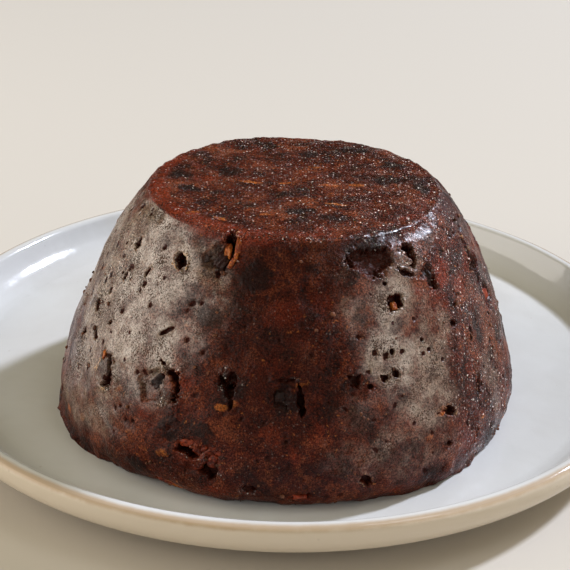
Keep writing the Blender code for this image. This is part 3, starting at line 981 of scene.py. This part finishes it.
def makeSpongeMaterial():
    look = spongeLook
    material, tree, where = newMaterial("steamed_sponge")
    noise = {name: noiseAt(where, *shape) for name, shape in look["noises"].items()}
    blotch, edge, sand = noise["blotch"], noise["edge"], noise["sand"]
    glintAndPoreNoise, droplets = noise["glintAndPoreNoise"], noise["droplets"]
    grain = useGroup(stickyGrain, where, look["grain"], Wrinkle=0.25)
    bigPore = useGroup(pores, where, look["bigPore"], Amount=0.34)
    sandPore = ramp(less(plus(0.4, swing(noise["patchy"], 0.75)), glintAndPoreNoise), -0.02, 0.06)
    ragged = plus(swing(edge, 1.0), swing(blotch, 1.0))

    def masked(name):
        start, end, rag = look["masks"][name]
        return ramp(plus(maskFrom(tree, name), times(ragged, rag)), start, end)

    raisin, peel, cherry = masked("raisin"), masked("peel"), masked("cherry")
    hole, torn, deepAndShade = masked("hole"), masked("torn"), masked("deepAndShade")
    stickyAndGlint, gloss = maskFrom(tree, "stickyAndGlint"), maskFrom(tree, "gloss")
    filmAndSheen = times(masked("filmAndSheen"), remains(raisin, 0.5))
    filmAndSheen = times(times(filmAndSheen, ramp(noise["streak"], 0.3, 0.66, 0.5, 1.0)), remains(hole))

    # crumb, fruit, deep skin with painted shade, grey skin with painted sheen, tears, then pores and holes
    # darkened with painted shade, one over the other
    tone = plus(times(ramp(sand, 0.3, 0.7), 0.45), ramp(noise["broad"], 0.3, 0.7))
    colour = mixColour(ramp(tone, 0.2, 0.8), look["dark"], look["mid"])
    colour = mixColour(ramp(tone, 0.75, 1.4), colour, look["light"])
    colour = mixColour(times(ramp(noise["fleck"], 0.66, 0.74), 0.5), colour, look["fleck"])
    shaded = times(cherry, plus(0.3, times(grain["Tone"], 0.7)))
    colour = mixColour(times(shaded, 0.9, True), colour, look["cherry"])
    colour = mixColour(times(raisin, 0.92), colour, look["raisin"])
    colour = mixColour(times(peel, 0.85), colour, mixColour(grain["Tone"], look["cherry"], look["peel"]))
    colour = mixColour(times(deepAndShade, look["deepAndShadeCover"]), colour, look["deepAndShade"])
    # a rosy tint, then pale grey: painted sheen over the grey skin
    colour = mixColour(times(filmAndSheen, 1.1, True), colour, look["underFilmAndSheen"])
    colour = mixColour(times(ramp(filmAndSheen, 0.1, 0.95), look["filmAndSheenCover"]), colour, look["filmAndSheen"])
    colour = mixColour(times(torn, 0.7), colour, look["torn"])
    # pores and holes darken: painted shade, pores most in the grey skin and painted sheen
    opened = times(most(sandPore, bigPore["Mask"]), plus(0.3, times(filmAndSheen, 0.65)))
    colour = mixColour(opened, colour, look["pore"])
    colour = mixColour(times(hole, 0.92), colour, look["hole"])

    # the sand darkens and lightens it all, most on sticky skin, where the swing is partly painted glint, and
    # pale specks lie on top as painted glints
    contrast = plus(3.6, plus(times(stickyAndGlint, 3.0), times(filmAndSheen, -1.2)))
    contrast = most(plus(swing(sand, contrast), 1.05), 0.12)
    scaled = addNode(tree, "ShaderNodeVectorMath", {0: colour, "Scale": contrast}, operation="SCALE")
    paintedGlint = most(useGroup(glintSpecks, where, look["glintSpeckSize"])["Mask"], ramp(glintAndPoreNoise, 0.66, 0.76))
    paintedGlint = times(paintedGlint, times(stickyAndGlint, ramp(blotch, 0.3, 0.6)))
    paintedGlint = times(times(paintedGlint, plus(1.0, times(gloss, 0.6))), remains(hole, 0.8))

    rough = plus(look["rough"], swing(blotch, 0.3))
    rough = less(rough, times(stickyAndGlint, look["rough"] - look["stickyRough"]))
    rough = plus(rough, times(filmAndSheen, look["filmRough"] - look["rough"]))
    covered = most(filmAndSheen, times(stickyAndGlint, 0.12))
    covered = most(covered, times(gloss, ramp(droplets, 0.5, 0.64, 0.03, 0.75)))
    coat = times(times(covered, remains(opened, 1.6, True)), ramp(sand, 0.3, 0.58, 0.3, 1.0))

    crisp = times(remains(filmAndSheen, 0.7), plus(0.35, times(stickyAndGlint, 0.65)))
    relief = bump(times(edge, crisp), 0.7 * mm)
    relief = bump(times(droplets, crisp), 0.6 * mm, relief)
    relief = bump(remains(opened), 0.2 * mm, relief)
    dress(tree, {
        "Base Color": mixColour(paintedGlint, scaled.outputs["Vector"], look["paintedGlint"]),
        "Roughness": plus(rough, times(opened, 0.35)),
        "Specular IOR Level": look["shine"],
        "Coat Weight": coat,
        "Coat Roughness": look["coatRough"],
        "Coat IOR": look["coatIndex"],
        "Subsurface Weight": look["glow"],
        "Subsurface Radius": look["glowColour"],
        "Subsurface Scale": look["glowDepth"],
        "Normal": relief,
    })
    return material


showPiece("pudding_sponge", makePuddingMesh(), makeSpongeMaterial(), "fruit_sponge", "pudding")


# bare fruit, peel and crumbs, as real pieces sunk in the sponge

raisinShape = {"thick": 0.55, "furrow": 0.2, "crease": 0.1, "uneven": 0.14}
peelShape = {"thick": 0.55, "square": 0.7, "rough": 0.42, "shrunk": 0.9}
crumbShape = {
    "count": 260,
    "small": 0.3 * mm,
    "large": 0.9 * mm,
    "rough": 0.4,
    "fallenShare": 0.35,       # lie low down, round the foot
    "fallenTo": 0.2,
}


def ballMesh(rings):
    # a ball of even faces, as points and triangles
    body = bmesh.new()
    bmesh.ops.create_icosphere(body, subdivisions=rings, radius=1)
    points = np.array([vert.co[:] for vert in body.verts])
    faces = np.array([[vert.index for vert in face.verts] for face in body.faces])
    body.free()
    return points, faces


def joinedMesh(name, bodies):
    points, faces, start = [], [], 0
    for bodyPoints, bodyFaces in bodies:
        points.append(bodyPoints)
        faces.append(bodyFaces + start)
        start += len(bodyPoints)
    return meshOf(name, np.concatenate(points).tolist(), np.concatenate(faces).tolist())


def laid(points, spot, turn, lift):
    # turn a body's x, y, z to across, up and out of the skin at a spot
    point, normal, across, up = spot
    angle = math.radians(turn)
    along = across * math.cos(angle) + up * math.sin(angle)
    beside = up * math.cos(angle) - across * math.sin(angle)
    return point + points[:, :1] * along + points[:, 1:2] * beside + (points[:, 2:] + lift) * normal


def raisinBody(ball, length, width, seed):
    # wrinkles run along the raisin
    furrows = softNoise(ball * np.array([0.8, 2.6, 2.6]) + seed, 1.0, seed % 13)
    creases = softNoise(ball * np.array([2.0, 5.2, 5.2]) + seed, 1.0, seed % 7)
    swell = 1 - raisinShape["furrow"] * (1 - np.abs(furrows) * 2.4)
    swell -= raisinShape["crease"] * (1 - 2 * np.abs(creases))
    swell += raisinShape["uneven"] * softNoise(ball + seed, 1.1, 5)
    return ball * swell[:, None] * np.array([length / 2, width / 2, width * raisinShape["thick"]])


def peelBody(ball, length, width, seed):
    # a cube of peel with blunt, lumpy sides
    blunt = np.sign(ball) * np.abs(ball) ** peelShape["square"]
    lumps = softNoise(ball * 1.3 + seed, 1.0, seed % 11) + 0.6 * softNoise(ball * 3 + seed, 1.0, seed % 5)
    blunt *= (1 + peelShape["rough"] * lumps)[:, None]
    half = np.array([length / 2, width / 2, min(width, length) * peelShape["thick"]])
    return blunt * half * peelShape["shrunk"]


def makeBareFruit():
    shapes = {"raisin": (raisinBody, ballMesh(4)), "peel": (peelBody, ballMesh(3))}
    shapes["cherry"] = shapes["peel"]
    groups = {kind: [] for kind in shapes}
    for seed, (kind, spot, length, width, turn, proud) in enumerate(bared):
        makeBody, (points, faces) = shapes[kind]
        body = makeBody(points, length, width, seed)
        groups[kind].append((placed(laid(body, spot, turn, proud * mm - body[:, 2].max())), faces))
    return groups


def makeCrumbs():
    points, faces = ballMesh(2)
    bodies = []
    for seed in range(crumbShape["count"]):
        azimuth, height = randomSpot(0.6, 66)
        if chance.uniform() < crumbShape["fallenShare"]:
            height *= crumbShape["fallenTo"]
        size = chance.uniform(crumbShape["small"], crumbShape["large"]) * chance.uniform(0.5, 1)
        shape = points * (1 + crumbShape["rough"] * softNoise(points + seed, 0.8, seed % 9))[:, None]
        shape = shape * size * np.array([chance.uniform(0.7, 1.3), chance.uniform(0.6, 1), 0.7])
        bodies.append((placed(laid(shape, onSide(azimuth, height), chance.uniform(0, 180), 0.0)), faces))
    return bodies


# dark and light colour, size of the grain, roughness, relief, and how much light goes in
fruitLook = {
    "raisin_skin": ((0.007, 0.0024, 0.0022), (0.034, 0.009, 0.006), 0.8 * mm, 0.34, 0.3 * mm, 0),
    "candied_peel": ((0.14, 0.018, 0.004), (0.5, 0.15, 0.026), 0.8 * mm, 0.34, 0.3 * mm, 0.25),
    "candied_cherry": ((0.05, 0.005, 0.002), (0.27, 0.042, 0.014), 0.8 * mm, 0.34, 0.3 * mm, 0.25),
    "loose_crumb": ((0.03, 0.009, 0.005), (0.2, 0.075, 0.035), 0.5 * mm, 0.5, 0.2 * mm, 0),
}


def makeFruitMaterial(name):
    dark, light, grainSize, roughness, relief, glow = fruitLook[name]
    material, tree, where = newMaterial(name)
    grain = useGroup(stickyGrain, where, grainSize, Wrinkle=0.8)
    tone = plus(times(grain["Tone"], 0.5), times(noiseAt(where, 3 * mm, 3.0), 0.6))
    dress(tree, {
        "Base Color": mixColour(ramp(tone, 0.3, 0.85), dark, light),
        "Roughness": ramp(grain["Tone"], 0.0, 1.0, roughness + 0.14, roughness - 0.06),
        "Specular IOR Level": 0.22,
        "Subsurface Weight": glow,
        "Subsurface Scale": 1.5 * mm,
        "Normal": bump(grain["Height"], relief),
    })
    return material


bare = makeBareFruit()
bare["crumb"] = makeCrumbs()
for name, kind, finish, slot in (
    ("raisins", "raisin", "raisin_skin", "dried_fruit"),
    ("peel_pieces", "peel", "candied_peel", "candied_peel"),
    ("cherry_pieces", "cherry", "candied_cherry", "candied_peel"),
    ("crumbs", "crumb", "loose_crumb", "fruit_sponge"),
):
    showPiece(name, joinedMesh(name, bare[kind]), makeFruitMaterial(finish), slot)


# the plate

plateShape = {
    "wellDepth": 11.5 * mm,
    "wall": 4.6 * mm,
    "coveRadius": 13 * mm,
    "coveTurn": 72,
    "lip": 1.9 * mm,
    "rimBand": 1.4 * mm,
    "belly": 7 * mm,
    "bellyTurn": 50,
    "footRadius": 74.5 * mm,
    "footWidth": 5 * mm,
    "footSpread": 1.2 * mm,
    "footRound": 0.9 * mm,
    "around": 300,             # points in a ring, a quarter of that near the middle
    "middle": 30 * mm,
    "wave": 0.24 * mm,         # a hand-turned rim is never quite true
    "longWave": 46 * mm,
    "shortWave": 13 * mm,
    "ringDepth": 0.05 * mm,    # faint turning rings
    "ringGap": 3.1 * mm,
    "ringDrift": 40 * mm,
}


def bend(start, corner, end, steps):
    share = np.linspace(0, 1, steps + 1)[:, None]
    straight = (1 - share) ** 2 * np.array(start) + share ** 2 * np.array(end)
    return straight + 2 * share * (1 - share) * np.array(corner)


def plateOutline():
    shape = plateShape
    radius, height = plateHigh.x, plateHigh.z
    floor = height - shape["wellDepth"]
    under = floor - shape["wall"]
    lipZ, lipIn = height - shape["lip"], radius - shape["wall"] + shape["lip"]
    turn = math.radians(shape["coveTurn"])
    runUp = lipZ + shape["lip"] * math.cos(turn) - floor - shape["coveRadius"] * (1 - math.cos(turn))
    coveX = lipIn - (shape["lip"] + shape["coveRadius"]) * math.sin(turn) - runUp / math.tan(turn)
    well = np.stack([np.linspace(0, coveX, 26)[:-1], np.full(25, floor)], axis=1)
    cove = arc(coveX, floor + shape["coveRadius"], shape["coveRadius"], -90, shape["coveTurn"] - 90, 14)
    lip = arc(lipIn, lipZ, shape["lip"], shape["coveTurn"] + 90, 90, 5)
    outerLip = arc(radius - shape["lip"], lipZ, shape["lip"], 90, 0, 6)
    belly = arc(radius - shape["belly"], lipZ - shape["rimBand"], shape["belly"], 0, -shape["bellyTurn"], 8)
    run = (belly[-1][1] - under) / math.tan(math.radians(90 - shape["bellyTurn"]))
    corner = (belly[-1][0] - run, under)
    wall = bend(belly[-1], corner, (corner[0] - run, under), 9)[1:]
    footIn, footRound = shape["footRadius"] - shape["footWidth"], shape["footRound"]
    foot = [np.array([[shape["footRadius"] + shape["footSpread"], under]])]
    foot.append(arc(shape["footRadius"] - footRound, footRound, footRound, 0, -90, 4))
    foot.append(arc(footIn + footRound, footRound, footRound, -90, -180, 4))
    foot.append(np.array([[footIn - shape["footSpread"], under], [footIn * 0.5, under], [0, under]]))
    return np.concatenate([well, cove, lip, outerLip, belly, wall] + foot)


def ringCount(radius):
    if radius < mm:
        return 1
    return plateShape["around"] if radius > plateShape["middle"] else plateShape["around"] // 4


def makePlateMesh():
    outline = plateOutline()
    mesh = turnedMesh("stoneware_plate", outline, [ringCount(radius) for radius, height in outline])
    points, normals = meshVectors(mesh), meshVectors(mesh, "normal")
    radius = radii(points)
    rimShare = fade(radius, 0.8 * plateHigh.x, 0.97 * plateHigh.x)
    drift = 2 * softNoise(points, plateShape["ringDrift"], 2)
    rings = np.sin(math.tau * radius / plateShape["ringGap"] + drift)
    seen = fade(points[:, 2], 5 * mm, 7 * mm)
    wave = 0.5 * softNoise(points, plateShape["longWave"], 21) - 0.5
    wave += 0.22 * softNoise(points, plateShape["shortWave"], 22)
    inset = plateShape["wave"] * rimShare * wave
    points = points + normals * (plateShape["ringDepth"] * rings * seen)[:, None]
    points[:, :2] *= (1 + inset / plateHigh.x * seen)[:, None]
    points[:, 2] += inset * 0.8 * seen * rimShare
    points[:, 2] = np.maximum(points[:, 2], 0)
    setPoints(mesh, points)
    outward = (normals[:, 0] * points[:, 0] + normals[:, 1] * points[:, 1]) / np.maximum(radius, mm)
    addMask(mesh, "outside", np.maximum(fade(outward, 0.4, 0.9), fade(normals[:, 2], 0.1, -0.2)))
    return mesh


glazeLook = {
    "white": (0.64, 0.645, 0.64),
    "warm": (0.6, 0.597, 0.585),
    "rim": (0.42, 0.29, 0.17),      # the glaze is thin on the lip
    "outside": (0.6, 0.52, 0.41),
    "clay": (0.5, 0.4, 0.28),       # the foot ring is bare
    "speck": (0.3, 0.24, 0.17),
    "speckGap": 4.5 * mm,
    "rough": 0.13,
}


def makeGlazeMaterial():
    look = glazeLook
    material, tree, where = newMaterial("stoneware_glaze")
    height = addNode(tree, "ShaderNodeSeparateXYZ", {"Vector": where}).outputs["Z"]
    away = addNode(tree, "ShaderNodeVectorMath", {0: where}, operation="LENGTH").outputs["Value"]
    broad = noiseAt(where, 34 * mm, 3.0)
    fine = noiseAt(where, 3.2 * mm, 4.0, 0.6)
    onTop = ramp(plus(height, swing(fine, 0.9 * mm)), plateHigh.z - 1.7 * mm, plateHigh.z - 0.5 * mm)
    atEdge = ramp(plus(away, swing(fine, 0.5 * mm)), plateHigh.x - 1.2 * mm, plateHigh.x + 0.2 * mm)
    outside = ramp(maskFrom(tree, "outside"), 0.2, 0.8)
    specks = useGroup(pores, where, look["speckGap"], Amount=0.16)
    bare = ramp(height, 1.5 * mm, 0.8 * mm)
    colour = mixColour(ramp(broad, 0.3, 0.7), look["white"], look["warm"])
    colour = mixColour(outside, colour, look["outside"])
    colour = mixColour(times(times(onTop, atEdge), 0.8), colour, look["rim"])
    colour = mixColour(times(specks["Mask"], 0.45), colour, look["speck"])
    rough = plus(plus(look["rough"], times(outside, 0.22)), times(bare, 0.4))
    dress(tree, {
        "Base Color": mixColour(bare, colour, look["clay"]),
        "Roughness": plus(rough, swing(fine, 0.12)),
        "Normal": bump(fine, 0.05 * mm, bump(broad, 1.2 * mm)),
    })
    return material


showPiece("stoneware_plate", makePlateMesh(), makeGlazeMaterial(), "pale_glaze", "plate")


# the studio

studio = {
    "floor": (0.57, 0.53, 0.47),
    "floorRough": 0.85,
    "floorSide": 8.0,
    "low": (0.035, 0.03, 0.024),       # the room at table height
    "high": (0.45, 0.39, 0.215),       # and overhead
    "keyFrom": (0.661, 0.375, 0.649),
    "keyAway": 4.0,
    "keySize": 0.34,
    "keyPower": 218.0,
    "keyColour": (0.785, 0.843, 1.0),
    "boxes": (                         # name, place, width, height, radiance, colour
        ("window_left", (-0.95, -0.12, 0.36), 1.4, 0.74, 3.2, (1.0, 0.94, 0.86)),
        ("box_right", (0.62, -0.52, 0.3), 0.5, 0.44, 2.6, (1.0, 0.95, 0.88)),
        ("box_above", (0.51, -0.24, 1.06), 0.34, 0.34, 3.8, (0.96, 0.97, 1.0)),
    ),
    "aim": (0, 0, 0.04),
}
camera = {
    "x": -0.25 * mm,
    "y": -370.2 * mm,
    "aboveRim": 185.2 * mm,
    "pitch": 25.07,
    "roll": 1.0,
    "lens": 80.2,
}


def addFloor():
    side = studio["floorSide"]
    corners = [(-side, -side, 0), (side, -side, 0), (side, side, 0), (-side, side, 0)]
    mesh = meshOf("floor", corners, [(0, 1, 2, 3)])
    floor = bpy.data.objects.new("floor", mesh)
    bpy.context.scene.collection.objects.link(floor)
    material, tree, where = newMaterial("pale_floor")
    dress(tree, {"Base Color": studio["floor"], "Roughness": studio["floorRough"]})
    mesh.materials.append(material)


def addSoftbox(name, place, width, height, radiance, colour):
    light = bpy.data.lights.new(name, "AREA")
    light.shape = "RECTANGLE"
    light.size, light.size_y = width, height
    light.energy = radiance * math.pi * width * height
    light.color = colour
    lamp = bpy.data.objects.new(name, light)
    lamp.location = place
    lamp.rotation_euler = (Vector(studio["aim"]) - Vector(place)).to_track_quat("-Z", "Y").to_euler()
    bpy.context.scene.collection.objects.link(lamp)


def addRoom():
    # a dim room that gets lighter overhead
    world = bpy.data.worlds.new("studio")
    world.use_nodes = True
    tree = world.node_tree
    outward = addNode(tree, "ShaderNodeTexCoord").outputs["Generated"]
    upward = most(addNode(tree, "ShaderNodeSeparateXYZ", {"Vector": outward}).outputs["Z"], 0.0)
    shade = mixColour(times(upward, upward), studio["low"], studio["high"])
    plug(tree, tree.nodes["Background"].inputs["Color"], shade)
    bpy.context.scene.world = world


def addLights():
    size = studio["keySize"]
    radiance = studio["keyPower"] / (math.pi * size ** 2)
    place = Vector(studio["keyFrom"]) * studio["keyAway"]
    addSoftbox("key", place, size, size, radiance, studio["keyColour"])
    for box in studio["boxes"]:
        addSoftbox(*box)


def addCamera():
    # level with a guest leaning over the table
    data = bpy.data.cameras.new("camera")
    data.sensor_width = 36
    data.lens = camera["lens"]
    data.clip_start = 0.02
    eye = bpy.data.objects.new("camera", data)
    eye.location = (camera["x"], camera["y"], plateHigh.z + camera["aboveRim"])
    pitched = Euler((math.radians(90 - camera["pitch"]), 0, 0)).to_matrix()
    eye.rotation_euler = (pitched @ Matrix.Rotation(math.radians(camera["roll"]), 3, "Z")).to_euler()
    bpy.context.scene.collection.objects.link(eye)
    bpy.context.scene.camera = eye


addFloor()
addRoom()
addLights()
addCamera()
bpy.context.scene.view_settings.view_transform = "Standard"
print("studio ready")
